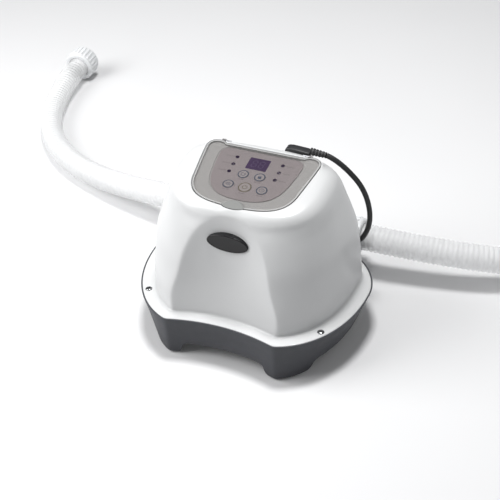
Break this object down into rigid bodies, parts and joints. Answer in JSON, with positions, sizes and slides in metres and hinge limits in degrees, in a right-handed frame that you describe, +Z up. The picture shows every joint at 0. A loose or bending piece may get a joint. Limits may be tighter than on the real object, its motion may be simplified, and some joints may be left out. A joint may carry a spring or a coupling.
{
  "type": "salt chlorine generator",
  "caption": "Free-standing salt chlorine generator: domed cover with a clear lid over a button panel, footed tray, rear water pipe with union nuts, ribbed hoses and a cell lead.",
  "frame": {"origin": "middle of the unit on the floor, without its hoses and lead", "axes": "+Z up, the front with the badge faces -Y, +X to the right seen from the front"},
  "size_m": [1.2367, 0.8255, 0.267],
  "materials": {
    "white_plastic": "glossy moulded white",
    "charcoal_plastic": "fine matt charcoal",
    "black_plastic": "satin black",
    "black_gloss": "glossy black",
    "pad_rubber": "matt black",
    "lead_rubber": "satin black",
    "bezel_plastic": "pale grey satin",
    "label_film": "mauve grey film",
    "button_film": "mauve grey film with a printed ring",
    "display_lens": "violet tinted window",
    "indicator_lens": "dark violet lens",
    "smoked_clear": "smoked clear polycarbonate",
    "chrome": "plated",
    "steel": "plain",
    "circuit_board": "green solder mask",
    "copper": "enamelled copper wire",
    "aluminium": "extruded",
    "titanium": "coated titanium",
    "pipe_plastic": "light grey moulding",
    "hose_vinyl": "milky translucent vinyl"
  },
  "bodies": {
    "unit": {"base_tray": "charcoal_plastic", "top_cover": "white_plastic", "badge": "black_gloss", "mains_gland": "black_plastic", "panel_bezel": "bezel_plastic", "panel_label": "label_film", "display_window": "display_lens", "hinge_pin_left": "steel", "hinge_pin_right": "steel", "main_board": "circuit_board", "display_board": "circuit_board", "transformer_core": "steel", "transformer_coil": "copper", "terminal_block": "black_plastic", "heat_sink": "aluminium", "cell_housing": "pipe_plastic", "electrode_1": "titanium", "electrode_2": "titanium", "electrode_3": "titanium", "electrode_holder": "black_plastic", "cell_head": "black_plastic", "flow_sensor": "black_plastic", "lead_connector": "black_plastic", "lead_relief_upper": "lead_rubber", "cell_lead": "lead_rubber", "lead_relief_lower": "lead_rubber", "foot_pad_front_left": "pad_rubber", "screw_front_left": "chrome", "foot_pad_front_right": "pad_rubber", "screw_front_right": "chrome", "foot_pad_rear_left": "pad_rubber", "screw_rear_left": "chrome", "foot_pad_rear_right": "pad_rubber", "screw_rear_right": "chrome", "indicator_left_1": "indicator_lens", "indicator_left_2": "indicator_lens", "indicator_left_3": "indicator_lens", "left_cuff": "hose_vinyl", "left_end_cuff": "hose_vinyl", "left_hose": "hose_vinyl", "left_seal": "pad_rubber", "indicator_right_1": "indicator_lens", "indicator_right_2": "indicator_lens", "indicator_right_3": "indicator_lens", "right_cuff": "hose_vinyl", "right_end_cuff": "hose_vinyl", "right_hose": "hose_vinyl", "right_seal": "pad_rubber"},
    "lid": {"lid": "smoked_clear"},
    "button_mode": {"button_mode": "button_film"},
    "button_lock": {"button_lock": "button_film"},
    "button_clean": {"button_clean": "button_film"},
    "button_power": {"button_power": "button_film"},
    "button_timer": {"button_timer": "button_film"},
    "left_union_nut": {"left_union_nut": "pipe_plastic"},
    "right_union_nut": {"right_union_nut": "pipe_plastic"},
    "sensor_nut": {"sensor_nut": "pipe_plastic"},
    "left_end_nut": {"left_end_nut": "pipe_plastic"},
    "right_end_nut": {"right_end_nut": "pipe_plastic"}
  },
  "joints": [
    {"name": "lid_hinge", "type": "hinge", "parent": "unit", "child": "lid", "pos_m": [0, 0.04204, 0.26409], "axis": [-1, 0, 0], "range_deg": [0, 100]},
    {"name": "button_mode_press", "type": "slide", "parent": "unit", "child": "button_mode", "axis": [0, 0.1486, -0.9889], "range_m": [0, 0.001], "stiffness_N_per_m": 500},
    {"name": "button_lock_press", "type": "slide", "parent": "unit", "child": "button_lock", "axis": [0, 0.1486, -0.9889], "range_m": [0, 0.001], "stiffness_N_per_m": 500},
    {"name": "button_clean_press", "type": "slide", "parent": "unit", "child": "button_clean", "axis": [0, 0.1486, -0.9889], "range_m": [0, 0.001], "stiffness_N_per_m": 500},
    {"name": "button_power_press", "type": "slide", "parent": "unit", "child": "button_power", "axis": [0, 0.1486, -0.9889], "range_m": [0, 0.001], "stiffness_N_per_m": 500},
    {"name": "button_timer_press", "type": "slide", "parent": "unit", "child": "button_timer", "axis": [0, 0.1486, -0.9889], "range_m": [0, 0.001], "stiffness_N_per_m": 500},
    {"name": "left_union_turn", "type": "hinge", "parent": "unit", "child": "left_union_nut", "pos_m": [-0.103, 0.1347, 0.064], "axis": [1, 0, 0], "continuous": true},
    {"name": "right_union_turn", "type": "hinge", "parent": "unit", "child": "right_union_nut", "pos_m": [0.103, 0.1347, 0.064], "axis": [1, 0, 0], "continuous": true},
    {"name": "sensor_nut_turn", "type": "hinge", "parent": "unit", "child": "sensor_nut", "pos_m": [-0.03, 0.1347, 0.1], "axis": [0, 0, 1], "continuous": true},
    {"name": "left_end_turn", "type": "hinge", "parent": "unit", "child": "left_end_nut", "pos_m": [-0.649, 0.5307, 0.0326], "axis": [-0.0829, 0.9955, 0.0456], "continuous": true},
    {"name": "right_end_turn", "type": "hinge", "parent": "unit", "child": "right_end_nut", "pos_m": [0.521, 0.6237, 0.0325], "axis": [0.0329, 0.999, 0.0318], "continuous": true}
  ]
}
